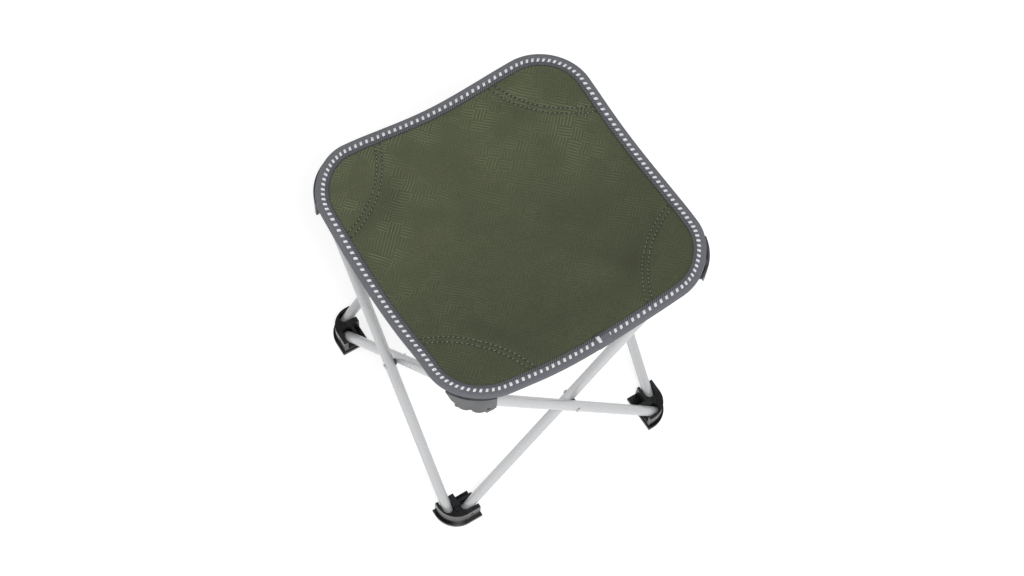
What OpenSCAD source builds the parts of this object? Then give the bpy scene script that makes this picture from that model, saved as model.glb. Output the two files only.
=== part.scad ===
// Folding camp stool: four crossing pairs of tubes between four corner feet
// and four corner brackets, with a cloth seat held by its corners.
// Corner 0 is left (-X,+Y), 1 front (-X,-Y), 2 right (+X,-Y), 3 back (+X,+Y).

/* [Frame] */
// Outer diameter of the leg tubes
tube_d = 14; // [12:1:15]
// Wall thickness of the leg tubes
tube_wall = 1; // [0.8:0.1:2]
// Half the distance between the two pivots at one side's feet
pivot_u = 146; // [140:1:155]
// Height of the foot pivots above the ground
foot_pivot_z = 19; // [18:0.5:21]
// Height of the bracket pivots above the ground
top_pivot_z = 397.4; // [385:0.2:410]
// Distance between the middle planes of a side's two tubes
side_gap = 15.5; // [15.3:0.1:16.5]
// Distance from a pivot to the side's middle plane
corner_inset = 17; // [15:0.5:20]
// How far a tube runs on past its end pivots
tube_overrun = 5; // [4:0.5:6]

/* [Fasteners] */
// Diameter of the pivot rivets
rivet_d = 4; // [4:0.5:5]
// Radial clearance of the rivets in their holes
rivet_clear = 0.06; // [0.05:0.01:0.1]
// Diameter of the rivet heads
head_d = 7.6; // [7:0.2:9]
// How far a rivet head stands off its tube
head_h = 1.1; // [0.8:0.1:1.6]
// Diameter of the seat screws
screw_d = 4; // [3:0.5:4]

/* [Feet and brackets] */
// Side clearance between a tube and its channel
channel_clear = 0.4; // [0.4:0.1:0.8]
// Thickness of the bracket's channel walls
wall = 2.6; // [2:0.2:3]
// Thickness of the foot's wall outside its outer tube
foot_wall_outer = 4.4; // [3:0.2:5]
// Thickness of the foot's wall outside its inner tube
foot_wall_inner = 6; // [4:0.5:7]
// How far a foot reaches inward from its pivots
reach = 13; // [11:0.5:15]
// How far a bracket reaches inward from its pivots
bracket_reach = 9; // [9:0.5:13]
// Thickness of the flange under a foot
flange_h = 4.5; // [4:0.5:6]
// How far the flange stands out past the foot's walls
flange_lip = 3.3; // [2:0.1:4]
// Height of the foot's corner block
foot_h = 29; // [26:1:31]
// Radius of the foot's outer corner
foot_r = 30; // [26:1:30]
// Radius of the lobes round a bracket pivot
lobe_r = 8; // [7:0.5:9]
// How far the bracket's rim stands back from the seat's edge
rim_back = 1.5; // [0.5:0.5:2]
// Height of the bracket's rim
rim_top = 421.5; // [418:0.5:422]

/* [Seat] */
// Half the width of the seat over its binding
seat_half = 192; // [190:1:193]
// Radius of the seat's corners
seat_corner_r = 72; // [70:1:74]
// Height of the cloth at its corners
seat_corner_z = 427; // [426.5:0.5:428]
// Height of the cloth in the middle of each edge
seat_edge_z = 411; // [408:1:414]
// Height of the cloth in the middle of the seat
seat_mid_z = 404; // [400:1:408]
// Thickness of the padded cloth
cloth_t = 2.4; // [2:0.2:3]
// Width of the edge binding
binding_w = 17; // [14:1:19]

/* [Hidden] */
$fn = 48;
P = pivot_u + corner_inset;          // side's middle plane from the centre
po = P + side_gap / 2;               // plane of the outer tubes
pi_ = P - side_gap / 2;              // plane of the inner tubes
tr = tube_d / 2;
tall = top_pivot_z - foot_pivot_z;
reach_len = sqrt(4 * pivot_u * pivot_u + tall * tall); // pivot to pivot
lean = atan(2 * pivot_u / tall);     // tube's lean from upright
pin_r = rivet_d / 2;
hole_r = pin_r + rivet_clear;
head_r = head_d / 2;
ch = tr + channel_clear;             // half width of a channel
out_face = po + ch + wall;           // outer face of a bracket's outer channel
in_end = pivot_u - reach;            // inner end of the feet
b_end = pivot_u - bracket_reach;     // inner end of the brackets
in_wall = po - ch - 2.05;            // inner face of the bracket's outer channel's wall
arc_c = seat_half - seat_corner_r;   // centre of the seat's corner arcs
rim_r = seat_corner_r - rim_back;    // outer radius of the bracket's rim
out_y = pi_ + ch + wall;             // outer face of a bracket's inner channel
foot_x = po + ch + foot_wall_outer;  // outer faces of a foot
foot_y = pi_ + ch + foot_wall_inner;
end_c = pivot_u + 1.9;               // middle of a channel's rounded end
pocket = 155;                        // where the foot's inner corner starts, across the outer tube
pocket_y = 144;                      // and across the inner tube
peg = 166;                           // where the cloth is held, in x and y
big = 400;

// Everything is drawn once for the front corner (1) or the front right side
// (1) and turned a quarter for each of the others.
module corner(k) rotate([0, 0, 90 * (k - 1)]) children();
module side(k) rotate([0, 0, 90 * (k - 1)]) children();

// ---- tubes ----
module leg_tube(y, dir) {
  translate([-dir * pivot_u, y, foot_pivot_z]) rotate([0, dir * lean, 0])
    difference() {
      translate([0, 0, -tube_overrun]) cylinder(r = tr, h = reach_len + 2 * tube_overrun);
      translate([0, 0, -tube_overrun - 1]) cylinder(r = tr - tube_wall, h = reach_len + 2 * tube_overrun + 2);
      for (t = [0, reach_len / 2, reach_len])
        translate([0, -tr - 1, t]) rotate([-90, 0, 0]) cylinder(r = hole_r, h = 2 * tr + 2);
    }
}
module tube_outer() color([0.80, 0.81, 0.82]) leg_tube(-po, -1);
module tube_inner() color([0.80, 0.81, 0.82]) leg_tube(-pi_, 1);

// A block whose outer corner is rounded, from (-ax,-ay) to (-bx,-by)
module corner_block(ax, ay, bx, by, r, z0, z1) translate([-ax, -ay, z0]) intersection() {
  translate([-5, -5, -5]) cube([ax - bx + 5, ay - by + 5, z1 - z0 + 10]);
  union() {
    translate([r, r, 0]) cylinder(r = r, h = z1 - z0, $fn = 96);
    translate([r, 0, 0]) cube([ax, ay, z1 - z0]);
    translate([0, r, 0]) cube([ax, ay, z1 - z0]);
  }
}
// A channel with a rounded end, along +X from the origin
module channel(r, len, h) {
  cylinder(r = r, h = h);
  translate([0, -r, 0]) cube([len, 2 * r, h]);
}

// ---- feet ----
module foot() color([0.13, 0.13, 0.14]) difference() {
  union() {
    corner_block(foot_x + flange_lip, foot_y + flange_lip, in_end - 1.5, in_end - 1.5, foot_r + flange_lip, 0, flange_h);
    corner_block(foot_x, foot_y, in_end, in_end, foot_r, 1, foot_h);
  }
  // channel of the outer tube, open upward and inward
  translate([-po, -end_c, foot_pivot_z - 9.5]) rotate([0, 0, 90]) channel(ch, big, big);
  // channel of the inner tube
  translate([-end_c, -pi_, foot_pivot_z - 9.5]) channel(ch, big, big);
  // inner corner, cut away between the two arms
  translate([-pocket, -pocket_y, flange_h]) cube([big, big, big]);
  // small moulded dimple on the top
  translate([-pivot_u - 17, -pivot_u - 11, foot_h - 1.2]) cylinder(r = 1.6, h = 5);
  // pin holes: the outer tube's is drilled from the inner corner, the inner tube's from outside
  translate([-foot_x + 2, -pivot_u, foot_pivot_z]) rotate([0, 90, 0]) cylinder(r = pin_r + 0.03, h = foot_x - 2 - pocket + 1);
  translate([-pivot_u, -foot_y - 1, foot_pivot_z]) rotate([-90, 0, 0]) cylinder(r = pin_r + 0.03, h = foot_y + 1 - pocket_y - 0.8);
}
module foot_rivets() color([0.25, 0.25, 0.26]) {
  translate([-foot_x + 2.2, -pivot_u, foot_pivot_z]) rotate([0, 90, 0]) cylinder(r = pin_r, h = foot_x - 2.2 - pocket - 0.6);
  translate([-pivot_u, -foot_y + 1, foot_pivot_z]) rotate([-90, 0, 0]) cylinder(r = pin_r, h = foot_y - pocket_y - 2);
}

// ---- brackets ----
boss_top = seat_corner_z - 4.2;      // the cloth rests on the boss
// Outline of the bracket's curved wall, seen from outside along the corner's
// own direction: a slanting end, a step, two round lobes and a slanting foot
// beside the pivot. Heights are from the pivots.
module wall_outline() {
  polygon([[-32, 33], [-24, 18], [-20, 10], [-16, 6], [-15.6, 2.5], [19.4, 1.3], [19.4, -6.3], [21.5, -10.4], [31.8, -0.4], [33, 33]]);
  translate([-4.3, 3]) circle(r = 8);
  translate([13.2, 0.4]) circle(r = 9.4);
}
module bracket() color([0.33, 0.34, 0.36]) difference() {
  union() {
    // floor under the cloth's corner
    intersection() {
      translate([-arc_c, -arc_c, top_pivot_z + 9.5]) cylinder(r = rim_r - 1, h = 3, $fn = 96);
      translate([-seat_half - 10, -seat_half - 10, top_pivot_z + 9]) cube([seat_half + 10 - b_end, seat_half + 10 - b_end, 10]);
      translate([-arc_c, -arc_c, top_pivot_z]) rotate([0, 0, -41]) translate([-20, -120, 0]) cube([150, 200, 40]);
    }
    // curved outer wall
    intersection() {
      difference() {
        translate([-arc_c, -arc_c, top_pivot_z - 20]) cylinder(r = rim_r, h = rim_top - top_pivot_z + 20, $fn = 96);
        translate([-arc_c, -arc_c, top_pivot_z - 21]) cylinder(r = rim_r - 2.8, h = big, $fn = 96);
      }
      translate([-seat_half - 10, -seat_half - 10, top_pivot_z - 20]) cube([seat_half + 10 - b_end, seat_half + 10 - b_end, 60]);
      translate([-arc_c, -arc_c, top_pivot_z]) rotate([0, 0, -41]) rotate([90, 0, 0]) linear_extrude(height = 120) wall_outline();
    }
    // socket blocks and lobes, trimmed by the outer wall's curve
    intersection() {
      union() {
        translate([-out_face, -out_face, top_pivot_z - 3]) cube([out_face - b_end, out_face - in_wall, 13]);
        translate([-out_y, -out_face, top_pivot_z - 3]) cube([2 * ch + 2 * wall, out_face - b_end, 13]);
        translate([-out_face, -out_face, top_pivot_z - 3]) cube([out_face - in_wall, out_face - in_wall, 13]);
        translate([-pivot_u, -seat_half - 5, top_pivot_z]) rotate([-90, 0, 0]) cylinder(r = lobe_r, h = seat_half + 5 - in_wall);
        translate([-out_y, -pivot_u, top_pivot_z]) rotate([0, 90, 0]) cylinder(r = lobe_r, h = 2 * ch + 2 * wall);
      }
      translate([-arc_c, -arc_c, top_pivot_z - 30]) cylinder(r = rim_r - 0.5, h = 60, $fn = 96);
    }
    // boss that holds the cloth
    translate([-peg, -peg, top_pivot_z]) cylinder(r = 5, h = boss_top - top_pivot_z);
  }
  // channels, open downward and inward
  translate([-end_c, -po, top_pivot_z - big]) channel(ch, big, big + 9.5);
  translate([-pi_, -end_c, top_pivot_z - big]) rotate([0, 0, 90]) channel(ch, big, big + 9.5);
  // rivet holes, open outward and blind inward
  translate([-pivot_u, -seat_half - 10, top_pivot_z]) rotate([-90, 0, 0]) cylinder(r = pin_r + 0.03, h = seat_half + 10 - in_wall - 0.6);
  translate([-out_y - 1, -pivot_u, top_pivot_z]) rotate([0, 90, 0]) cylinder(r = pin_r + 0.03, h = 2 * ch + 2 * wall + 1 - 0.6);
  // screw hole and its head's recess
  translate([-peg, -peg, top_pivot_z - 20]) cylinder(r = screw_d / 2 + 0.03, h = 60);
  translate([-peg, -peg, top_pivot_z - 20]) cylinder(r = 4.2, h = 20);
}
module bracket_rivets() color([0.25, 0.25, 0.26]) {
  translate([-pivot_u, -out_face - 2, top_pivot_z]) rotate([-90, 0, 0]) cylinder(r = pin_r, h = out_face + 2 - in_wall - 0.8);
  translate([-out_y + 0.4, -pivot_u, top_pivot_z]) rotate([0, 90, 0]) cylinder(r = pin_r, h = 2 * ch + 2 * wall - 1.2);
}
module seat_screw() color([0.55, 0.55, 0.56]) {
  translate([-peg, -peg, top_pivot_z - 2.2]) cylinder(r = 3.8, h = 2.1);
  translate([-peg, -peg, top_pivot_z - 2.2]) cylinder(r = screw_d / 2, h = boss_top - top_pivot_z + 1.8);
}

// ---- crossing pivots ----
cross_z = foot_pivot_z + tall / 2;
module cross_rivet() color([0.70, 0.71, 0.72]) translate([0, 0, cross_z]) {
  // head on the outer tube, cupped to it
  difference() {
    translate([0, -po - tr - head_h, 0]) rotate([-90, 0, 0]) cylinder(r = head_r, h = head_h + 2);
    translate([0, -po, 0]) rotate([0, -lean, 0]) cylinder(r = tr + 0.05, h = 60, center = true);
  }
  translate([0, -po - tr - 0.6, 0]) rotate([-90, 0, 0]) cylinder(r = pin_r, h = side_gap + 2 * tr + 1.5);
  translate([0, -pi_ + tr + 0.3, 0]) rotate([-90, 0, 0]) cylinder(r = head_r - 0.6, h = 0.9);
}
module cross_spacer() color([0.10, 0.10, 0.11]) translate([0, 0, cross_z]) difference() {
  translate([0, -po, 0]) rotate([-90, 0, 0]) cylinder(r = 4.4, h = side_gap - tr - 0.35);
  translate([0, -po, 0]) rotate([0, -lean, 0]) cylinder(r = tr + 0.08, h = 60, center = true);
  translate([0, -po - 1, 0]) rotate([-90, 0, 0]) cylinder(r = hole_r, h = side_gap + 2);
}

// ---- seat ----
// The cloth is one padded sheet that gathers when the stool folds. Here it is
// eight flat pieces between the natural fold lines, corner to middle and
// middle of edge to middle.
split = 0.15; // half the space between two pieces of cloth
diag_in = seat_half - seat_corner_r * (1 - cos(45)); // corner's tip, in x and y
// points of the piece from the corner at (-,-) to the middle of the front right
// side, as [x, y, share of the way out]
function rim_pt(k, n, inset) = // k from 0 at the tip to n at the side's middle
  let (a = 45 + 45 * min(1, k / (n - 1)), r = seat_corner_r - inset)
  k < n ? [-arc_c - r * cos(a), -arc_c - r * sin(a)] : [0, -seat_half + inset];
function rim_z(k, n) = k < n ? seat_corner_z - (seat_corner_z - seat_edge_z) * 0.18 * pow(k / (n - 1), 2) : seat_edge_z;
rim_n = 6;
module cloth_piece(inset) {
  top = concat([[-split * 3, -split * 5, seat_mid_z]],
    [for (k = [0:rim_n]) let (p = rim_pt(k, rim_n, inset))
      [k == 0 ? p[0] + split * 1.5 : min(p[0], -split), k == 0 ? p[1] : p[1], rim_z(k, rim_n)]]);
  n = len(top);
  pts = concat(top, [for (p = top) [p[0], p[1], p[2] - cloth_t]]);
  polyhedron(points = pts, faces = concat(
    [for (k = [1:n - 2]) [0, k + 1, k]],
    [for (k = [1:n - 2]) [n, n + k, n + k + 1]],
    [for (k = [0:n - 1]) let (j = (k + 1) % n) [k, j, n + k]],
    [for (k = [0:n - 1]) let (j = (k + 1) % n) [j, n + j, n + k]]));
}
module seat_cloth_1() color([0.31, 0.35, 0.24]) cloth_piece(2);
module seat_cloth_2() color([0.31, 0.35, 0.24]) mirror([1, 0, 0]) cloth_piece(2);
// Binding: a folded tape round the edge, here a strip on top of it
module binding_piece() {
  top = [for (k = [0:rim_n]) let (p = rim_pt(k, rim_n, 0)) [k == 0 ? p[0] + split * 1.5 : min(p[0], -split), p[1], rim_z(k, rim_n)]];
  ins = [for (k = [0:rim_n]) let (p = rim_pt(k, rim_n, binding_w)) [k == 0 ? p[0] + split * 1.5 : min(p[0], -split), p[1], rim_z(k, rim_n)]];
  n = len(top);
  h = 1.2;
  g = 0.1;
  pts = concat([for (p = top) p + [0, 0, g]], [for (p = ins) p + [0, 0, g]],
    [for (p = top) p + [0, 0, g + h]], [for (p = ins) p + [0, 0, g + h]]);
  polyhedron(points = pts, faces = concat(
    [for (k = [0:n - 2]) [k, k + 1, n + k]],
    [for (k = [0:n - 2]) [k + 1, n + k + 1, n + k]],
    [for (k = [0:n - 2]) [2 * n + k, 3 * n + k, 2 * n + k + 1]],
    [for (k = [0:n - 2]) [2 * n + k + 1, 3 * n + k, 3 * n + k + 1]],
    [for (k = [0:n - 2]) [k, 2 * n + k, k + 1]],
    [for (k = [0:n - 2]) [k + 1, 2 * n + k, 2 * n + k + 1]],
    [for (k = [0:n - 2]) [n + k, n + k + 1, 3 * n + k]],
    [for (k = [0:n - 2]) [n + k + 1, 3 * n + k + 1, 3 * n + k]],
    [[0, n, 2 * n], [n, 3 * n, 2 * n]],
    [[n - 1, 3 * n - 1, 2 * n - 1], [2 * n - 1, 3 * n - 1, 4 * n - 1]]));
}
module edge_binding_1() color([0.40, 0.40, 0.43]) binding_piece();
module edge_binding_2() color([0.40, 0.40, 0.43]) mirror([1, 0, 0]) binding_piece();

side(0) tube_outer();  // tube_outer_front_left
side(1) tube_outer();  // tube_outer_front_right
side(2) tube_outer();  // tube_outer_back_right
side(3) tube_outer();  // tube_outer_back_left
side(0) tube_inner();  // tube_inner_front_left
side(1) tube_inner();  // tube_inner_front_right
side(2) tube_inner();  // tube_inner_back_right
side(3) tube_inner();  // tube_inner_back_left
corner(0) foot();  // foot_left
corner(1) foot();  // foot_front
corner(2) foot();  // foot_right
corner(3) foot();  // foot_back
corner(0) foot_rivets();  // foot_rivets_left
corner(1) foot_rivets();  // foot_rivets_front
corner(2) foot_rivets();  // foot_rivets_right
corner(3) foot_rivets();  // foot_rivets_back
corner(0) bracket();  // bracket_left
corner(1) bracket();  // bracket_front
corner(2) bracket();  // bracket_right
corner(3) bracket();  // bracket_back
corner(0) bracket_rivets();  // bracket_rivets_left
corner(1) bracket_rivets();  // bracket_rivets_front
corner(2) bracket_rivets();  // bracket_rivets_right
corner(3) bracket_rivets();  // bracket_rivets_back
side(0) cross_rivet();  // cross_rivet_front_left
side(1) cross_rivet();  // cross_rivet_front_right
side(2) cross_rivet();  // cross_rivet_back_right
side(3) cross_rivet();  // cross_rivet_back_left
side(0) cross_spacer();  // cross_spacer_front_left
side(1) cross_spacer();  // cross_spacer_front_right
side(2) cross_spacer();  // cross_spacer_back_right
side(3) cross_spacer();  // cross_spacer_back_left
corner(0) seat_screw();  // seat_screw_left
corner(1) seat_screw();  // seat_screw_front
corner(2) seat_screw();  // seat_screw_right
corner(3) seat_screw();  // seat_screw_back
side(0) seat_cloth_1();  // seat_cloth_front_left_1
side(0) seat_cloth_2();  // seat_cloth_front_left_2
side(1) seat_cloth_1();  // seat_cloth_front_right_1
side(1) seat_cloth_2();  // seat_cloth_front_right_2
side(2) seat_cloth_1();  // seat_cloth_back_right_1
side(2) seat_cloth_2();  // seat_cloth_back_right_2
side(3) seat_cloth_1();  // seat_cloth_back_left_1
side(3) seat_cloth_2();  // seat_cloth_back_left_2
side(0) edge_binding_1();  // edge_binding_front_left_1
side(0) edge_binding_2();  // edge_binding_front_left_2
side(1) edge_binding_1();  // edge_binding_front_right_1
side(1) edge_binding_2();  // edge_binding_front_right_2
side(2) edge_binding_1();  // edge_binding_back_right_1
side(2) edge_binding_2();  // edge_binding_back_right_2
side(3) edge_binding_1();  // edge_binding_back_left_1
side(3) edge_binding_2();  // edge_binding_back_left_2
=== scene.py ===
import math
import bpy
import numpy as np
from mathutils import Matrix, Vector


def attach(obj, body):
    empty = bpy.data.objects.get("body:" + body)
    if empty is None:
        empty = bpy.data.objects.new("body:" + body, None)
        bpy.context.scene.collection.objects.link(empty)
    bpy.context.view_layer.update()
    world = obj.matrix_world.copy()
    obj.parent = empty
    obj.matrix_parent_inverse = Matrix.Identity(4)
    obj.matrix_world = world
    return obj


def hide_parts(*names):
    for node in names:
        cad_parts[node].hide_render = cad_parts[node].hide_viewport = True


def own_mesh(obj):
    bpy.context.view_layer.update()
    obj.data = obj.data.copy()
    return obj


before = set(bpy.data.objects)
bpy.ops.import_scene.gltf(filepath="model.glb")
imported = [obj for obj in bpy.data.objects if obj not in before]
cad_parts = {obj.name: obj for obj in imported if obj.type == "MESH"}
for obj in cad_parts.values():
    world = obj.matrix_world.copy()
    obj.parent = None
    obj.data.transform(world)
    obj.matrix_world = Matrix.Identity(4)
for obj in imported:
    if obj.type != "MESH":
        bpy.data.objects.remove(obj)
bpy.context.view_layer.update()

SIDES = ["front_left", "front_right", "back_right", "back_left"]
CORNERS = ["left", "front", "right", "back"]
HALF, RC, ARC = 0.192, 0.072, 0.120          # half width over the binding, corner radius, centre of the corner arcs
Z_CORNER, Z_EDGE, Z_MID = 0.4275, 0.4114, 0.4040
RUN = ARC + RC * math.pi / 4                 # along the edge from a side's middle to the tip of its corner
CLOTH_T = 0.0022
BIND_W = 0.0170
STITCH_C, STITCH_R = 0.225, (0.155, 0.148)   # circles of the two rows across each corner
rng = np.random.default_rng(7)

# ------------------------------------------------------------------ materials

def new_mat(name):
    m = bpy.data.materials.new(name)
    m.use_nodes = True
    nt = m.node_tree
    for n in list(nt.nodes):
        nt.nodes.remove(n)
    out = nt.nodes.new("ShaderNodeOutputMaterial")
    b = nt.nodes.new("ShaderNodeBsdfPrincipled")
    nt.links.new(b.outputs[0], out.inputs[0])
    return m, nt, b


class NT:
    """Short ways to make the nodes."""

    def __init__(self, nt):
        self.nt = nt

    def node(self, kind, **props):
        n = self.nt.nodes.new(kind)
        for k, v in props.items():
            setattr(n, k, v)
        return n

    def link(self, a, b):
        self.nt.links.new(a, b)

    def put(self, socket, v):
        if isinstance(v, bpy.types.NodeSocket):
            self.link(v, socket)
        else:
            socket.default_value = v

    def math(self, op, a, b=0.0, c=0.0, clamp=False):
        n = self.node("ShaderNodeMath", operation=op, use_clamp=clamp)
        self.put(n.inputs[0], a)
        self.put(n.inputs[1], b)
        self.put(n.inputs[2], c)
        return n.outputs[0]

    def ramp(self, v, lo, hi, a=0.0, b=1.0):
        n = self.node("ShaderNodeMapRange", interpolation_type="SMOOTHSTEP")
        self.put(n.inputs["Value"], v)
        n.inputs["From Min"].default_value = lo
        n.inputs["From Max"].default_value = hi
        n.inputs["To Min"].default_value = a
        n.inputs["To Max"].default_value = b
        return n.outputs["Result"]

    def noise(self, vec, scale, detail=3.0, rough=0.5):
        n = self.node("ShaderNodeTexNoise")
        self.link(vec, n.inputs["Vector"])
        n.inputs["Scale"].default_value = scale
        n.inputs["Detail"].default_value = detail
        n.inputs["Roughness"].default_value = rough
        return n.outputs["Fac"]

    def mix(self, fac, a, b):
        n = self.node("ShaderNodeMix", data_type="RGBA")
        self.put(n.inputs[0], fac)
        self.put(n.inputs[6], a)
        self.put(n.inputs[7], b)
        return n.outputs[2]

    def bump(self, height, strength, distance, normal=None):
        n = self.node("ShaderNodeBump")
        n.inputs["Strength"].default_value = strength
        n.inputs["Distance"].default_value = distance
        self.link(height, n.inputs["Height"])
        if normal is not None:
            self.link(normal, n.inputs["Normal"])
        return n.outputs[0]

    def attr(self, name):
        return self.node("ShaderNodeAttribute", attribute_name=name)

    def obj(self):
        return self.node("ShaderNodeTexCoord").outputs["Object"]

    def xyz(self, vec):
        n = self.node("ShaderNodeSeparateXYZ")
        self.link(vec, n.inputs[0])
        return n.outputs


def col(r, g, b):
    return (r, g, b, 1.0)


def plastic(name, base, worn, rough, grain=900.0, depth=0.00005):
    """Moulded plastic: fine eroded texture, slight unevenness in gloss, paler rubbed edges."""
    m, nt, b = new_mat(name)
    t = NT(nt)
    p = t.obj()
    big = t.noise(p, 38.0, 4.0)
    fine = t.noise(p, grain, 3.0, 0.6)
    scuff = t.ramp(t.noise(p, 160.0, 5.0, 0.7), 0.60, 0.78)
    edge = t.node("ShaderNodeNewGeometry").outputs["Pointiness"]
    rub = t.ramp(edge, 0.52, 0.60)
    amount = t.math("MULTIPLY", t.math("MAXIMUM", rub, t.math("MULTIPLY", scuff, 0.45)), 0.55, clamp=True)
    base2 = t.mix(big, col(*[c * 0.82 for c in base]), col(*[c * 1.15 for c in base]))
    t.link(t.mix(amount, base2, col(*worn)), b.inputs["Base Color"])
    t.link(t.ramp(big, 0.3, 0.7, rough - 0.05, rough + 0.08), b.inputs["Roughness"])
    b.inputs["Specular IOR Level"].default_value = 0.5
    t.link(t.bump(fine, 0.35, depth), b.inputs["Normal"])
    return m


def metal_paint(name, base, rough, metallic, coat=0.0):
    """Powder coat: fine orange peel and faint clouding."""
    m, nt, b = new_mat(name)
    t = NT(nt)
    p = t.obj()
    cloud = t.noise(p, 14.0, 4.0)
    peel = t.noise(p, 700.0, 2.0)
    c = t.mix(cloud, col(*[x * 0.93 for x in base]), col(*[min(1, x * 1.05) for x in base]))
    t.link(c, b.inputs["Base Color"])
    b.inputs["Metallic"].default_value = metallic
    t.link(t.ramp(cloud, 0.3, 0.7, rough - 0.04, rough + 0.06), b.inputs["Roughness"])
    t.link(t.bump(peel, 0.05, 0.00002), b.inputs["Normal"])
    return m


def steel(name, base, rough):
    m, nt, b = new_mat(name)
    t = NT(nt)
    p = t.obj()
    n = t.noise(p, 260.0, 5.0, 0.65)
    t.link(t.mix(n, col(*[x * 0.8 for x in base]), col(*base)), b.inputs["Base Color"])
    b.inputs["Metallic"].default_value = 0.9
    t.link(t.ramp(n, 0.3, 0.7, rough - 0.06, rough + 0.12), b.inputs["Roughness"])
    t.link(t.bump(t.noise(p, 1500.0, 2.0), 0.2, 0.00004), b.inputs["Normal"])
    return m


def cloth_material(name, under=False):
    """Coated polyester: fine plain weave, with a pressed pattern of short bundles of lines that run along
    the seat's two diagonals, worn flat toward the middle. Its lines are painted paler as a painted sheen, weaker toward
    the front and the right, where less light catches them."""
    m, nt, b = new_mat(name)
    t = NT(nt)
    rest = t.attr("rest").outputs["Vector"]
    x, y, _ = t.xyz(rest)[:3]
    s = t.math("MULTIPLY", t.math("ADD", x, y), 0.70710678)
    r = t.math("MULTIPLY", t.math("SUBTRACT", x, y), 0.70710678)
    wob = t.math("MULTIPLY", t.math("SUBTRACT", t.noise(rest, 22.0, 2.0), 0.5), 0.006)
    s = t.math("ADD", s, wob)
    r = t.math("ADD", r, wob)

    def lines(across, pitch):
        g = t.math("ABSOLUTE", t.math("SUBTRACT", t.math("FRACT", t.math("DIVIDE", across, pitch)), 0.5))
        return t.ramp(g, 0.10, 0.26, 1.0, 0.0)

    def bundles(cell, seed, pitch):
        """Cells that take one direction or the other at random, so that some bundles are long and some short."""
        si = t.math("FLOOR", t.math("DIVIDE", t.math("ADD", s, seed), cell))
        ri = t.math("FLOOR", t.math("DIVIDE", t.math("ADD", r, seed * 0.7), cell))
        cmb = t.node("ShaderNodeCombineXYZ")
        t.link(si, cmb.inputs[0]); t.link(ri, cmb.inputs[1])
        cmb.inputs[2].default_value = seed * 1000
        wn = t.node("ShaderNodeTexWhiteNoise", noise_dimensions="3D")
        t.link(cmb.outputs[0], wn.inputs["Vector"])
        parity = t.math("ABSOLUTE", t.math("MODULO", t.math("ADD", si, ri), 2.0))
        pick = t.math("GREATER_THAN", t.math("ADD", t.math("MULTIPLY", parity, 0.52), t.math("MULTIPLY", wn.outputs["Value"], 0.96)), 0.74)
        a = t.math("MULTIPLY", lines(s, pitch), pick)
        c = t.math("MULTIPLY", lines(r, pitch), t.math("SUBTRACT", 1.0, pick))
        on = t.ramp(wn.outputs["Value"], 0.10, 0.35, 0.45, 1.0)
        return t.math("MULTIPLY", t.math("ADD", a, c), on)

    pattern_and_painted_sheen = bundles(0.0152, 0.0031, 0.0038)
    dist = t.math("SQRT", t.math("ADD", t.math("MULTIPLY", x, x), t.math("MULTIPLY", y, y)))
    # painted sheen: the pattern is made stronger toward the back and the left, where the light catches it
    painted_sheen_side = t.ramp(t.math("SUBTRACT", y, t.math("MULTIPLY", x, 0.25)), -0.16, 0.10, 0.22, 1.0)
    fade = t.math("MULTIPLY", t.ramp(dist, 0.05, 0.16, 0.32, 1.0), t.ramp(t.noise(rest, 19.0, 2.0), 0.38, 0.60, 0.18, 1.0))
    strength = t.math("MULTIPLY", fade, painted_sheen_side)
    pattern_and_painted_sheen = t.math("MULTIPLY", pattern_and_painted_sheen, strength)
    # seams across the corners: the sheet is pulled tight along each stitched row, and its colour is darkened there in
    # dashes, painted shade for the stitch holes and the dip along the row
    ax = t.math("SUBTRACT", t.math("ABSOLUTE", x), STITCH_C)
    ay = t.math("SUBTRACT", t.math("ABSOLUTE", y), STITCH_C)
    rad = t.math("SQRT", t.math("ADD", t.math("MULTIPLY", ax, ax), t.math("MULTIPLY", ay, ay)))
    painted_row_shade = None
    for rr in STITCH_R:
        d = t.math("ABSOLUTE", t.math("SUBTRACT", rad, rr))
        e = t.ramp(d, 0.0006, 0.0019, 1.0, 0.0)
        painted_row_shade = e if painted_row_shade is None else t.math("MAXIMUM", painted_row_shade, e)
    ang = t.math("ARCTAN2", ay, ax)
    step = t.math("FRACT", t.math("DIVIDE", t.math("MULTIPLY", ang, STITCH_R[0]), 0.0058))
    stitch_hole_shade = t.ramp(t.math("ABSOLUTE", t.math("SUBTRACT", step, 0.5)), 0.20, 0.34, 0.45, 1.0)
    # plain weave
    k = 2 * math.pi / 0.0011
    wx = t.math("SINE", t.math("MULTIPLY", s, k))
    wy = t.math("SINE", t.math("MULTIPLY", r, k))
    weave = t.math("MULTIPLY", wx, wy)
    slub = t.noise(rest, 520.0, 3.0, 0.65)
    cloud = t.noise(rest, 11.0, 4.0)
    # deep is the cloth's darker tone and also its painted shade; pale is its painted sheen and painted light
    base, deep_tone_and_shade, pale = (0.0575, 0.0650, 0.0330), (0.0250, 0.0290, 0.0140), (0.1100, 0.1250, 0.0690)
    if under:
        base, deep_tone_and_shade, pale = (0.020, 0.021, 0.019), (0.014, 0.015, 0.013), (0.034, 0.035, 0.032)
    c = t.mix(t.ramp(cloud, 0.3, 0.7), col(*[v * 0.90 for v in base]), col(*[v * 1.08 for v in base]))
    c = t.mix(t.math("MULTIPLY", t.ramp(slub, 0.40, 0.62), 0.55), c, col(*deep_tone_and_shade))
    # painted sheen: the pattern's lines painted paler
    c = t.mix(t.math("MULTIPLY", pattern_and_painted_sheen, 0.90), c, col(*pale))
    # painted shade in dashes along the stitched rows
    c = t.mix(t.math("MULTIPLY", painted_row_shade, t.math("MULTIPLY", stitch_hole_shade, 0.85)), c, col(*[v * 0.32 for v in base]))
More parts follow.
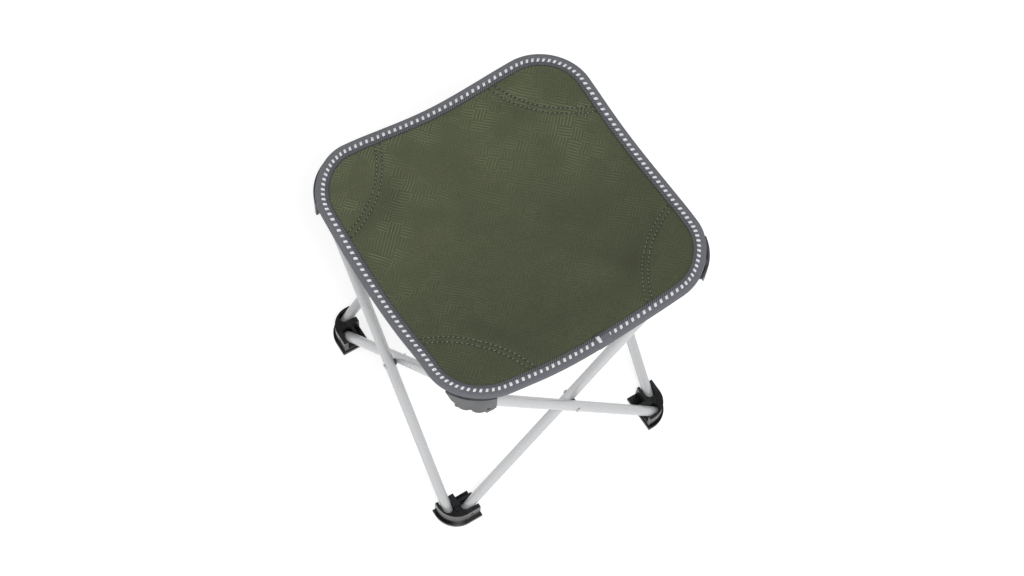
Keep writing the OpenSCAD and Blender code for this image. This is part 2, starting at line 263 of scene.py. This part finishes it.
    # painted light and shade: the cloth is painted darker toward the front and paler toward the back, as the light
    # falls on the seat
    painted_light_to_back = t.ramp(y, -0.17, 0.17, 0.0, 1.0)
    c = t.mix(t.math("MULTIPLY", t.math("SUBTRACT", 1.0, painted_light_to_back), 0.26), c, col(*deep_tone_and_shade))
    c = t.mix(t.math("MULTIPLY", painted_light_to_back, 0.13), c, col(*pale))
    # painted shade: the cloth's colour is darkened at the bottom of the sunken folds, where shade falls
    painted_shade_in_creases = t.xyz(t.attr("painted_shade_in_creases").outputs["Vector"])[0]
    c = t.mix(t.math("MULTIPLY", painted_shade_in_creases, 0.44), c, col(*deep_tone_and_shade))
    t.link(c, b.inputs["Base Color"])
    t.link(t.math("SUBTRACT", 0.72, t.math("MULTIPLY", pattern_and_painted_sheen, 0.16)), b.inputs["Roughness"])
    b.inputs["Specular IOR Level"].default_value = 0.30
    b.inputs["Sheen Weight"].default_value = 0.06
    b.inputs["Sheen Roughness"].default_value = 0.5
    h = t.math("ADD", t.math("MULTIPLY", weave, 0.12), t.math("MULTIPLY", slub, 0.30))
    n1 = t.bump(h, 0.60, 0.00030)
    n2 = t.bump(pattern_and_painted_sheen, 0.60, 0.00055, n1)
    t.link(n2, b.inputs["Normal"])
    return m


def tape_material(name):
    """Woven tape: slanting ribs, a serrated stitched inner edge. 'tape' is metres along, metres in from the outer edge."""
    m, nt, b = new_mat(name)
    t = NT(nt)
    v = t.attr("tape").outputs["Vector"]
    a, w, _ = t.xyz(v)[:3]
    diag = t.math("ADD", a, t.math("MULTIPLY", w, 0.55))
    rib = t.math("MULTIPLY", t.math("ADD", t.math("SINE", t.math("MULTIPLY", diag, 2 * math.pi / 0.0019)), 1.0), 0.5)
    cross = t.math("MULTIPLY", t.math("ADD", t.math("SINE", t.math("MULTIPLY", w, 2 * math.pi / 0.0010)), 1.0), 0.5)
    tooth = t.math("FRACT", t.math("DIVIDE", t.math("SUBTRACT", a, t.math("MULTIPLY", w, 0.9)), 0.0029))
    tooth = t.ramp(t.math("ABSOLUTE", t.math("SUBTRACT", tooth, 0.5)), 0.16, 0.34)
    inner = t.ramp(w, BIND_W - 0.0056, BIND_W - 0.0047)
    dark_line = t.ramp(w, BIND_W - 0.0012, BIND_W - 0.0005)
    bed = t.math("MULTIPLY", t.ramp(w, 0.0052, 0.0062), t.ramp(w, 0.0118, 0.0128, 1.0, 0.0))
    cloud = t.noise(v, 45.0, 4.0)
    fuzz = t.noise(v, 900.0, 2.0)
    c = t.mix(cloud, col(0.104, 0.107, 0.119), col(0.132, 0.136, 0.151))
    c = t.mix(t.math("MULTIPLY", rib, 0.50), c, col(0.050, 0.052, 0.061))
    c = t.mix(t.math("MULTIPLY", bed, 0.30), c, col(0.085, 0.088, 0.100))
    c = t.mix(t.math("MULTIPLY", fuzz, 0.15), c, col(0.20, 0.205, 0.22))
    c = t.mix(t.math("MULTIPLY", inner, t.math("MULTIPLY", tooth, 0.88)), c, col(0.020, 0.021, 0.024))
    c = t.mix(t.math("MULTIPLY", dark_line, 0.85), c, col(0.009, 0.010, 0.009))
    t.link(c, b.inputs["Base Color"])
    b.inputs["Roughness"].default_value = 0.78
    b.inputs["Specular IOR Level"].default_value = 0.3
    b.inputs["Sheen Weight"].default_value = 0.08
    h = t.math("ADD", t.math("MULTIPLY", rib, 0.6), t.math("MULTIPLY", cross, 0.25))
    h = t.math("SUBTRACT", h, t.math("MULTIPLY", inner, tooth))
    t.link(t.bump(h, 0.5, 0.00035), b.inputs["Normal"])
    return m


def thread_material(name, base, tip):
    """Twisted thread: slanting plies and slight fuzz, from the object's coordinates."""
    m, nt, b = new_mat(name)
    t = NT(nt)
    p = t.obj()
    w = t.node("ShaderNodeTexWave", wave_type="BANDS", bands_direction="DIAGONAL")
    t.link(p, w.inputs["Vector"])
    w.inputs["Scale"].default_value = 700.0
    w.inputs["Distortion"].default_value = 2.0
    f = w.outputs["Fac"]
    t.link(t.mix(f, col(*base), col(*tip)), b.inputs["Base Color"])
    b.inputs["Roughness"].default_value = 0.65
    b.inputs["Sheen Weight"].default_value = 0.2
    t.link(t.bump(f, 0.4, 0.0001), b.inputs["Normal"])
    return m


M = {
    "tube": metal_paint("tube_powder_coat", (0.475, 0.48, 0.487), 0.27, 0.28),
    "foot": plastic("foot_plastic_mat", (0.0045, 0.0045, 0.0050), (0.030, 0.031, 0.033), 0.25),
    "bracket": plastic("bracket_plastic_mat", (0.036, 0.037, 0.039), (0.070, 0.073, 0.077), 0.38),
    "pivot": metal_paint("black_rivet_mat", (0.02, 0.02, 0.022), 0.35, 0.6),
    "rivet": steel("plated_rivet_mat", (0.62, 0.63, 0.64), 0.30),
    "spacer": plastic("spacer_mat", (0.012, 0.012, 0.013), (0.05, 0.05, 0.055), 0.5),
    "screw": steel("screw_mat", (0.55, 0.56, 0.57), 0.28),
    "cloth": cloth_material("seat_cloth_mat"),
    "under": cloth_material("cloth_back_mat", True),
    "tape": tape_material("binding_tape_mat"),
    "white": thread_material("white_thread_mat", (0.46, 0.47, 0.50), (0.74, 0.75, 0.78)),
    "green": thread_material("green_thread_mat", (0.10, 0.115, 0.066), (0.23, 0.255, 0.165)),
    # near-black thread, also used as painted shade for the stitch holes in the corner rows
    "dark_stitch_shade": thread_material("dark_thread_and_hole_shade_mat", (0.008, 0.009, 0.006), (0.020, 0.023, 0.014)),
}

# ------------------------------------------------------------------ CAD nodes

def dress(node, mat, bevel=None, segments=3):
    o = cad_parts[node]
    o.data.materials.clear()
    o.data.materials.append(mat)
    if bevel:
        b = o.modifiers.new("soft_edges", "BEVEL")
        b.width = bevel
        b.segments = segments
        b.limit_method = "ANGLE"
        b.angle_limit = math.radians(35)
        b.harden_normals = True
        b.use_clamp_overlap = True


def round_tube(node):
    """Normals of the tube's outer face straight out from its own axis, so that long thin triangles shade evenly."""
    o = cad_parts[node]
    me = o.data
    co = np.empty(len(me.vertices) * 3)
    me.vertices.foreach_get("co", co)
    co = co.reshape(-1, 3)
    mid = co.mean(0)
    axis = np.linalg.svd(co - mid, full_matrices=False)[2][0]
    for _ in range(3):
        u = (co - mid) @ axis
        ends = []
        for at in (u.min(), u.max()):
            ring = co[np.abs(u - at) < 0.0005]
            # a circle's middle as the middle of its box across the axis, whatever the spacing of its points
            e1 = np.cross(axis, [0.0, 0.0, 1.0]); e1 /= np.linalg.norm(e1)
            e2 = np.cross(axis, e1)
            a, b = ring @ e1, ring @ e2
            ends.append(e1 * (a.min() + a.max()) / 2 + e2 * (b.min() + b.max()) / 2 + axis * (ring @ axis).mean())
        axis = (ends[1] - ends[0]) / np.linalg.norm(ends[1] - ends[0])
        mid = (ends[0] + ends[1]) / 2
    d = co - mid
    d = d - (d @ axis)[:, None] * axis
    r = np.linalg.norm(d, axis=1)
    n = d / np.maximum(r, 1e-9)[:, None]
    outer = np.abs(r - r.max()) < 0.0002
    me.polygons.foreach_set("use_smooth", [True] * len(me.polygons))
    me.set_sharp_from_angle(angle=math.radians(35))
    out = []
    for q in me.polygons:
        vs = list(q.vertices)
        ok = all(outer[v] for v in vs) and abs(np.dot(q.normal, axis)) < 0.3
        out += [tuple(n[v]) if ok else (0.0, 0.0, 0.0) for v in vs]
    me.normals_split_custom_set(out)


for s_ in SIDES:
    round_tube("tube_outer_" + s_)
    round_tube("tube_inner_" + s_)
    dress("tube_outer_" + s_, M["tube"])
    dress("tube_inner_" + s_, M["tube"])
    dress("cross_rivet_" + s_, M["rivet"], 0.0005)
    dress("cross_spacer_" + s_, M["spacer"])
for c_ in CORNERS:
    dress("foot_" + c_, M["foot"], 0.0011)
    dress("bracket_" + c_, M["bracket"], 0.0007)
    dress("foot_rivets_" + c_, M["pivot"], 0.0004)
    dress("bracket_rivets_" + c_, M["pivot"], 0.0004)
    dress("seat_screw_" + c_, M["screw"], 0.0004)

# ------------------------------------------------------------------ the seat's surface

def smooth(t):
    t = np.clip(t, 0, 1)
    return t * t * (3 - 2 * t)


def polar(x, y):
    """Share of the way from the middle to the outline, and length along the edge from its side's middle."""
    a, c = np.minimum(abs(x), abs(y)), np.maximum(np.maximum(abs(x), abs(y)), 1e-9)
    th = np.arctan2(c, a)
    R = HALF / np.sin(th)
    straight = R * np.cos(th) <= ARC
    d = (np.cos(th) + np.sin(th)) * ARC
    Ra = d + np.sqrt(np.maximum(d * d - (2 * ARC * ARC - RC * RC), 0))
    phi = np.arctan2(Ra * np.cos(th) - ARC, Ra * np.sin(th) - ARC)
    s = np.where(straight, R * np.cos(th), ARC + RC * phi)
    R = np.where(straight, R, Ra)
    return np.hypot(a, c) / R, s


FOLDS = [  # x, y, direction, length, width, depth of the soft creases that the sheet takes between its corners, in metres
    (0.100, -0.117, 45, 0.044, 0.016, -0.0032), (0.151, -0.086, 62, 0.026, 0.010, -0.0022),
    (-0.102, 0.104, 58, 0.042, 0.015, -0.0030), (0.088, 0.141, 122, 0.030, 0.012, -0.0024),
    (-0.092, -0.108, 130, 0.034, 0.012, -0.0018), (-0.150, 0.090, 20, 0.024, 0.010, -0.0014),
    (0.060, -0.095, -52, 0.040, 0.016, 0.0020), (-0.060, 0.070, 40, 0.045, 0.018, 0.0018),
    (-0.030, 0.112, 15, 0.060, 0.018, 0.0014), (0.085, 0.095, 130, 0.040, 0.016, -0.0012),
    (-0.120, -0.020, 80, 0.050, 0.016, 0.0014), (0.010, -0.130, 5, 0.055, 0.018, -0.0014)]


UNEVEN = [  # x, y, reach, and how far the sewn sheet sits off its even square there, in metres
    (0.178, -0.170, 0.058, -0.0044, 0.0046, 0.0), (-0.172, 0.166, 0.055, 0.0032, -0.0026, 0.0),
    (-0.172, -0.178, 0.052, 0.0010, 0.0030, 0.0),
    (0.176, 0.176, 0.060, 0.0006, 0.0006, 0.0004), (0.192, -0.010, 0.065, 0.0024, 0.0, 0.001),
    (-0.190, -0.110, 0.038, 0.0020, 0.0, 0.0), (-0.060, -0.194, 0.060, 0.0, -0.0026, 0.0)]


def uneven(o):
    me = o.data
    co = np.empty(len(me.vertices) * 3, np.float32)
    me.vertices.foreach_get("co", co)
    co = co.reshape(-1, 3)
    out = co.astype(float)
    for x, y, reach, dx, dy, dz in UNEVEN:
        g = np.exp(-((co[:, 0] - x) ** 2 + (co[:, 1] - y) ** 2) / reach ** 2)
        out += g[:, None] * np.array([dx, dy, dz])
    me.vertices.foreach_set("co", out.astype(np.float32).ravel())
    me.update()


def painted_crease_shade(x, y):
    """0 on the plain sheet, up to 1 at the bottom of a sunken fold: how much painted shade darkens the cloth's colour
    there.
    """
    c = np.zeros_like(np.asarray(x, float))
    for fx, fy, ang, ln, wd, dp in FOLDS:
        if dp < 0:
            a = math.radians(ang)
            u = (x - fx) * math.cos(a) + (y - fy) * math.sin(a)
            v = -(x - fx) * math.sin(a) + (y - fy) * math.cos(a)
            c = c + (-dp / 0.0032) * np.exp(-(u / ln) ** 2 - (v / wd) ** 2)
    return np.clip(c, 0, 1)


def stitch_gap(x, y, which):
    """Distance from a row of the corner stitching."""
    return abs(np.hypot(abs(x) - STITCH_C, abs(y) - STITCH_C) - STITCH_R[which])


def seat_z(x, y):
    """Height of the cloth's upper face."""
    x, y = np.asarray(x, float), np.asarray(y, float)
    rho, s = polar(x, y)
    ze = Z_EDGE + (Z_CORNER - Z_EDGE) * smooth(s / RUN / 0.84)
    e = 0.2
    h = (np.sqrt(rho * rho + e * e) - e) / (math.sqrt(1 + e * e) - e)
    z = Z_MID + (ze - Z_MID) * h
    inside = smooth((1 - rho) / 0.12)
    for fx, fy, ang, ln, wd, dp in FOLDS:
        a = math.radians(ang)
        u = (x - fx) * math.cos(a) + (y - fy) * math.sin(a)
        v = -(x - fx) * math.sin(a) + (y - fy) * math.cos(a)
        z = z + dp * np.exp(-(u / ln) ** 2 - (v / wd) ** 2) * inside
    # padding drawn down by the stitched rows, and by the binding's seam
    for k in (0, 1):
        z = z - 0.0011 * np.exp(-(stitch_gap(x, y, k) / 0.0017) ** 2) * inside
    return z - 0.0004 * np.exp(-((1 - rho) * HALF - BIND_W) ** 2 / 0.003 ** 2)


def seat_n(x, y, step=0.0006):
    gx = (seat_z(x + step, y) - seat_z(x - step, y)) / (2 * step)
    gy = (seat_z(x, y + step) - seat_z(x, y - step)) / (2 * step)
    n = np.stack([-gx, -gy, np.ones_like(gx)], -1)
    return n / np.linalg.norm(n, axis=-1, keepdims=True)


def edge_point(s, inset):
    """Point and outward direction on the outline of the piece that goes from the tip of the corner at (-,-) to the middle of the side at -Y. s is metres from the side's middle."""
    if s <= ARC:
        return np.array([-s, -HALF + inset]), np.array([0.0, -1.0])
    a = (s - ARC) / RC
    d = np.array([-math.sin(a), -math.cos(a)])
    return np.array([-ARC, -ARC]) + d * (RC - inset), d


def place(k, half, p):
    """From the piece's own corner to side k, first or second half. p is an array of points or directions."""
    p = np.array(p, float)
    if half == 2:
        p = p * np.array([-1, 1, 1])
    for _ in range((k - 1) % 4):
        p = np.stack([-p[..., 1], p[..., 0], p[..., 2]], -1)
    return p


def rides(o, k, half):
    """The piece swings with its panel."""
    name = f"cloth_{SIDES[k]}_{half}"
    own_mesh(o)
    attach(o, name)


def make(name, verts, faces, mats, flip=False, face_mat=None, smooth_faces=True):
    me = bpy.data.meshes.new(name)
    if flip:
        faces = [tuple(reversed(f)) for f in faces]
    me.from_pydata([tuple(v) for v in verts], [], faces)
    for m in mats:
        me.materials.append(m)
    if face_mat is not None:
        me.polygons.foreach_set("material_index", face_mat)
    me.polygons.foreach_set("use_smooth", [smooth_faces] * len(me.polygons))
    me.update()
    o = bpy.data.objects.new(name, me)
    bpy.context.scene.collection.objects.link(o)
    return o


def vector_attr(o, name, values):
    a = o.data.attributes.new(name, "FLOAT_VECTOR", "POINT")
    a.data.foreach_set("vector", np.asarray(values, np.float32).ravel())


def set_normals(o, normals, known):
    """Own normals where they are known, so that neighbouring pieces shade as one sheet."""
    me = o.data
    out = []
    for p in me.polygons:
        vs = list(p.vertices)
        ok = all(known[v] for v in vs)
        for v in vs:
            out.append(tuple(normals[v]) if ok else (0.0, 0.0, 0.0))
    me.normals_split_custom_set(out)


NU, NR = 48, 100


def cloth_panel(k, half):
    inset = 0.0022
    s_list = np.linspace(RUN, 0, NU + 1)
    rim = np.array([edge_point(s, inset)[0] for s in s_list])
    t = np.linspace(0, 1, NR + 1)[1:]
    xy = np.concatenate([[[0.0, 0.0]]] + [rim * r for r in t])
    flat = place(k, half, np.c_[xy, np.zeros(len(xy))])
    z = seat_z(flat[:, 0], flat[:, 1])
    nrm = seat_n(flat[:, 0], flat[:, 1])
    top = np.c_[flat[:, :2], z]
    bot = top - np.array([0, 0, CLOTH_T])
    n = len(top)
    W = NU + 1
    faces, fm = [], []

    def tri(i, j, l):
        faces.append((i, j, l)); fm.append(0)
        faces.append((n + i, n + l, n + j)); fm.append(1)

    for i in range(NU):
        tri(0, 1 + i, 2 + i)
    for r in range(NR - 1):
        for i in range(NU):
            a, b = 1 + r * W + i, 2 + r * W + i
            c, d = a + W, b + W
            faces.append((a, c, d, b)); fm.append(0)
            faces.append((n + a, n + b, n + d, n + c)); fm.append(1)
    loop = [0] + [1 + r * W for r in range(NR)] + [1 + (NR - 1) * W + i for i in range(1, W)] + [1 + r * W + NU for r in range(NR - 2, -1, -1)]
    for i in range(len(loop)):
        a, b = loop[i], loop[(i + 1) % len(loop)]
        faces.append((a, n + a, n + b, b)); fm.append(1)
    o = make(f"cloth_sheet_{SIDES[k]}_{half}", np.r_[top, bot], faces, [M["cloth"], M["under"]], flip=half == 2, face_mat=fm)
    vector_attr(o, "rest", np.r_[top, bot])
    # painted shade for the sunken folds, passed to the cloth material as an attribute
    crease_shade = painted_crease_shade(top[:, 0], top[:, 1])
    vector_attr(o, "painted_shade_in_creases", np.c_[np.r_[crease_shade, crease_shade], np.zeros((2 * n, 2))])
    set_normals(o, np.r_[nrm, -nrm], [True] * n + [False] * n)
    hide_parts(f"seat_cloth_{SIDES[k]}_{half}")
    return o


def strip(name, k, half, s_list, section, mats, attr_w):
    """A band along the edge. section gives, for a place along the edge, points (inset, height) round the band, closed."""
    rows, tape = [], []
    for s in s_list:
        sec = section(s)
        for j, (w, h) in enumerate(sec):
            p, _ = edge_point(s, w)
            q = place(k, half, [p[0], p[1], 0.0])
            ze = float(seat_z(*(place(k, half, [*edge_point(s, min(max(w, 0.0018), 0.03))[0], 0.0])[:2])))
            rows.append([q[0], q[1], ze + h])
            tape.append([(k * 2 + half) * 0.5 + (s if half == 2 else -s), attr_w[j], 0.0])
    m = len(section(s_list[0]))
    faces = []
    for i in range(len(s_list) - 1):
        for j in range(m):
            a, b = i * m + j, i * m + (j + 1) % m
            faces.append((a, b, b + m, a + m))
    faces.append(tuple(reversed(range(m))))
    faces.append(tuple((len(s_list) - 1) * m + j for j in range(m)))
    o = make(name, rows, faces, mats, flip=half == 1)
    vector_attr(o, "tape", tape)
    caps = {frozenset((b + j, b + (j + 1) % m)) for b in (0, (len(s_list) - 1) * m) for j in range(m)}
    for e in o.data.edges:
        if frozenset(e.vertices) in caps:
            e.use_edge_sharp = True
    return o


BT = 0.0011                                   # thickness of the tape
SEC = [  # inset from the outline, height over the cloth's upper face, width coordinate
    (BIND_W, 0.0002, BIND_W), (BIND_W - 0.0004, BT * 0.8, BIND_W - 0.0005), (BIND_W - 0.002, BT, BIND_W - 0.002),
    (0.0125, BT * 1.05, 0.0125), (0.0100, BT * 0.85, 0.0100), (0.0078, BT * 0.85, 0.0078), (0.0055, BT * 1.15, 0.0055), (0.0030, BT * 1.2, 0.0030),
    (0.0013, BT * 0.7, 0.0010), (0.0003, -0.0004, 0.0), (0.0000, -0.0018, -0.0015), (0.0004, -0.0034, -0.003),
    (0.0018, -CLOTH_T - BT * 1.2, -0.0045), (0.0060, -CLOTH_T - BT * 1.2, -0.009), (BIND_W - 0.001, -CLOTH_T - BT, -BIND_W),
    (BIND_W - 0.0004, -CLOTH_T - 0.0001, -BIND_W), (0.0032, -CLOTH_T - 0.0001, -0.006), (0.0020, -0.0012, 0.0), (0.0032, 0.0001, 0.003)]


def binding(k, half):
    n = 70
    s_list = np.linspace(RUN, 0, n + 1)

    def section(s):
        return [(w, h) for w, h, _ in SEC]

    o = strip(f"binding_tape_{SIDES[k]}_{half}", k, half, s_list, section, [M["tape"]], [c for _, _, c in SEC])
    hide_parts(f"edge_binding_{SIDES[k]}_{half}")
    return o


def pill(p, d, up, length, width, height, bend=None):
    """A short rounded stitch from its middle p, along d, standing on up. Gives vertices and faces."""
    d = d / np.linalg.norm(d)
    up = up - d * (up @ d)
    up = up / np.linalg.norm(up)
    c = np.cross(up, d)
    vs, fs = [], []
    rings = [(-0.5, 0.45), (-0.46, 0.88), (-0.25, 1.0), (0.25, 1.0), (0.46, 0.88), (0.5, 0.45)]
    m = 8
    for a, w in rings:
        sag = -height * 0.7 * (abs(a) * 2) ** 4
        for j in range(m):
            g = 2 * math.pi * j / m
            vs.append(p + d * (a * length) + c * (math.cos(g) * width / 2 * w) + up * (math.sin(g) * height / 2 * w + sag))
    for i in range(len(rings) - 1):
        for j in range(m):
            a, b = i * m + j, i * m + (j + 1) % m
            fs.append((a, b, b + m, a + m))
    fs.append(tuple(reversed(range(m))))
    fs.append(tuple((len(rings) - 1) * m + j for j in range(m)))
    return vs, fs


def stitches(name, items, mat):
    V, F = [], []
    for it in items:
        vs, fs = pill(*it)
        b = len(V)
        V += vs
        F += [tuple(b + i for i in f) for f in fs]
    o = make(name, V, F, [mat])
    return o


def surf(q):
    z = float(seat_z(q[0], q[1]))
    n = seat_n(np.array([q[0]]), np.array([q[1]]))[0]
    return np.array([q[0], q[1], z]), n


def white_dashes(k, half):
    """The row of pale stitches across the tape, each of three threads side by side."""
    count = 22
    items = []
    for i in range(count):
        s = RUN * (i + 0.5) / count
        for c in (-1, 0, 1):
            p, d = edge_point(s + c * 0.00108, 0.0090)
            along = np.array([d[1], -d[0]])
            v = place(k, half, [d[0], d[1], 0.0])
            al = place(k, half, [along[0], along[1], 0.0])
            if half == 2:
                al = -al
            q = place(k, half, [p[0], p[1], 0.0])
            pt, n = surf(q)
            items.append((pt + n * (BT + 0.0001), v + al * 0.30, n, 0.0056 + rng.uniform(-0.0005, 0.0003), 0.00112, 0.0010))
    o = stitches(f"binding_stitches_{SIDES[k]}_{half}", items, M["white"])
    return o


def row_points(which, half_piece=True):
    """Places along one row of the corner stitching, in the piece's own corner, from the diagonal to the binding."""
    r = STITCH_R[which]
    out, a = [], math.pi / 4
    step = 0.0029 / r
    a0 = a + step / 2
    while True:
        p = np.array([-STITCH_C + r * math.cos(math.pi / 2 - a0), -STITCH_C + r * math.sin(math.pi / 2 - a0)])
        rho, _ = polar(p[0], p[1])
        if (1 - float(rho)) * HALF < BIND_W + 0.0004 or p[1] < -HALF or p[0] > 0:
            break
        out.append((p, np.array([math.sin(math.pi / 2 - a0), -math.cos(math.pi / 2 - a0)])))
        a0 += step
    return out


def corner_rows(k, half):
    pale, dark_stitch_shade = [], []
    for which in (0, 1):
        for i, (p, d) in enumerate(row_points(which)):
            q = place(k, half, [p[0], p[1], 0.0])
            v = place(k, half, [d[0], d[1], 0.0])
            pt, n = surf(q)
            if i % 2 == 0:
                pale.append((pt + n * 0.0006, v + np.cross(n, v) * 0.35, n, 0.0024, 0.0010, 0.0010))
            else:
                # painted shade: the near-black pills between the pale stitches stand in for the shade in the stitch
                # holes, as well as for dark thread
                dark_stitch_shade.append((pt + n * 0.0005, v - np.cross(n, v) * 0.15, n, 0.0038, 0.0013, 0.0009))
    a = stitches(f"corner_thread_pale_{SIDES[k]}_{half}", pale, M["green"])
    b = stitches(f"corner_thread_dark_{SIDES[k]}_{half}", dark_stitch_shade, M["dark_stitch_shade"])
    return [a, b]


def corner_patch(k, half):
    """Second layer sewn under each corner, out to the stitched rows."""
    N, R = 16, 14
    th = np.linspace(0, 1, N + 1)
    V = []
    inner = []
    pts = [np.array([-STITCH_C + (STITCH_R[0] + 0.003) / math.sqrt(2)] * 2)] + [p for p, _ in row_points(0)]
    pts = np.array(pts)
    for t in th:
        f = t * (len(pts) - 1)
        i = min(int(f), len(pts) - 2)
        inner.append(pts[i] + (pts[i + 1] - pts[i]) * (f - i))
    outer = []
    end_s = min(abs(inner[-1][0]), ARC)
    for t in th:
        s = RUN + (end_s - RUN) * t
        outer.append(edge_point(s, BIND_W - 0.003)[0])
    for r in range(R + 1):
        for i in range(N + 1):
            V.append(inner[i] + (outer[i] - inner[i]) * r / R)
    V = np.array(V)
    flat = place(k, half, np.c_[V, np.zeros(len(V))])
    z = seat_z(flat[:, 0], flat[:, 1]) - CLOTH_T - 0.0003
    top = np.c_[flat[:, :2], z]
    bot = top - np.array([0, 0, 0.0008])
    n = len(top)
    W = N + 1
    faces = []
    for r in range(R):
        for i in range(N):
            a, b, c, d = r * W + i, r * W + i + 1, (r + 1) * W + i, (r + 1) * W + i + 1
            faces.append((a, c, d, b))
            faces.append((n + a, n + b, n + d, n + c))
    loop = [r * W for r in range(R + 1)] + [R * W + i for i in range(1, W)] + [r * W + N for r in range(R - 1, -1, -1)] + [i for i in range(N - 1, 0, -1)]
    for i in range(len(loop)):
        a, b = loop[i], loop[(i + 1) % len(loop)]
        faces.append((a, n + a, n + b, b))
    o = make(f"corner_patch_{SIDES[k]}_{half}", np.r_[top, bot], faces, [M["under"]], flip=half == 2)
    vector_attr(o, "rest", np.r_[top, bot])
    return o


def tape_joint():
    """Where the tape's ends overlap, near the middle of the front right side: a second layer with a bar of pale stitches."""
    k, half = 1, 2
    s0, s1 = 0.001, 0.020
    s_list = np.linspace(s1, s0, 16)

    def section(s):
        return [(BIND_W + 0.0006, 0.0003), (BIND_W, BT * 1.9), (0.0100, BT * 1.75), (0.0060, BT * 2.0), (0.0016, BT * 1.7), (-0.0004, 0.0), (-0.0005, -0.002), (0.0004, -0.0038),
                (0.0014, -0.0030), (0.0006, -0.001), (0.0020, BT * 1.1), (0.0100, BT * 0.9), (BIND_W - 0.001, BT)]

    ws = [BIND_W, BIND_W, 0.01, 0.006, 0.0015, 0.0, -0.0015, -0.003, -0.003, -0.001, 0.002, 0.01, BIND_W]
    o = strip("binding_overlap", k, half, s_list, section, [M["tape"]], ws)
    items = []
    for i in range(7):
        p, d = edge_point(0.0055, 0.0058 + i * 0.0012)
        q = place(k, half, [p[0], p[1], 0.0])
        pt, n = surf(q)
        items.append((pt + n * (BT * 2.0), place(k, half, [1.0, 0.12 * (-1) ** i, 0.0]), n, 0.0050, 0.0013, 0.0010))
    b = stitches("binding_bar_tack", items, M["white"])
    return [o, b]


for k in range(4):
    for half in (1, 2):
        sheet = cloth_panel(k, half)
        tape = binding(k, half)
        extra = [white_dashes(k, half), corner_patch(k, half)] + corner_rows(k, half)
        if (k, half) == (1, 2):
            extra += tape_joint()
        for o in [sheet, tape] + extra:
            uneven(o)
            rides(o, k, half)

# ------------------------------------------------------------------ floor, light, camera

def floor():
    me = bpy.data.meshes.new("studio_floor")
    n = 30
    me.from_pydata([(-n, -n, 0), (n, -n, 0), (n, n, 0), (-n, n, 0)], [], [(0, 1, 2, 3)])
    o = bpy.data.objects.new("studio_floor", me)
    bpy.context.scene.collection.objects.link(o)
    m, nt, b = new_mat("studio_floor_mat")
    b.inputs["Base Color"].default_value = (0.45, 0.45, 0.45, 1)
    b.inputs["Roughness"].default_value = 0.9
    b.inputs["Specular IOR Level"].default_value = 0.1
    b.inputs["Emission Color"].default_value = (1, 1, 1, 1)
    b.inputs["Emission Strength"].default_value = 0.70
    me.materials.append(m)


floor()


def area_light(name, loc, target, size, power, color=(1, 1, 1)):
    d = bpy.data.lights.new(name, "AREA")
    d.shape = "DISK"
    d.size = size
    d.energy = power
    d.color = color
    o = bpy.data.objects.new(name, d)
    o.location = loc
    o.rotation_euler = (Vector(target) - Vector(loc)).to_track_quat("-Z", "Y").to_euler()
    bpy.context.scene.collection.objects.link(o)
    return o


area_light("key_light", (-0.45, -1.3, 2.65), (0, 0, 0.35), 0.9, 60)
area_light("fill_light", (-2.2, 1.0, 2.4), (0, 0, 0.3), 2.0, 12)

world = bpy.data.worlds.new("studio_world")
world.use_nodes = True
# bright towards the horizon, dim overhead, as in a tent of white sheets with an open top
wt = NT(world.node_tree)
up_part = wt.xyz(wt.node("ShaderNodeTexCoord").outputs["Generated"])[2]
wt.link(wt.ramp(up_part, 0.35, 0.85, 0.90, 0.15), world.node_tree.nodes["Background"].inputs[1])
world.node_tree.nodes["Background"].inputs[0].default_value = (1, 1, 1, 1)
bpy.context.scene.world = world
bpy.context.scene.view_settings.view_transform = "Standard"

cam_data = bpy.data.cameras.new("camera")
cam = bpy.data.objects.new("camera", cam_data)
bpy.context.scene.collection.objects.link(cam)
cam_data.sensor_width = 36.0
cam_data.lens = 1721.8 * 36.0 / 1024.0
AZ, EL, ROLL = math.radians(37.33), math.radians(61.97), math.radians(5.62)
fwd = Vector((math.sin(AZ) * math.cos(EL), math.cos(AZ) * math.cos(EL), -math.sin(EL)))
right = fwd.cross(Vector((0, 0, 1))).normalized()
up = right.cross(fwd)
r2 = right * math.cos(ROLL) + up * math.sin(ROLL)
u2 = -right * math.sin(ROLL) + up * math.cos(ROLL)
mw = Matrix.Identity(4)
for i in range(3):
    mw[i][0], mw[i][1], mw[i][2] = r2[i], u2[i], -fwd[i]
mw[0][3], mw[1][3], mw[2][3] = -0.619, -0.827, 2.1912
cam.matrix_world = mw
cam_data.clip_start, cam_data.clip_end = 0.05, 100
bpy.context.scene.camera = cam
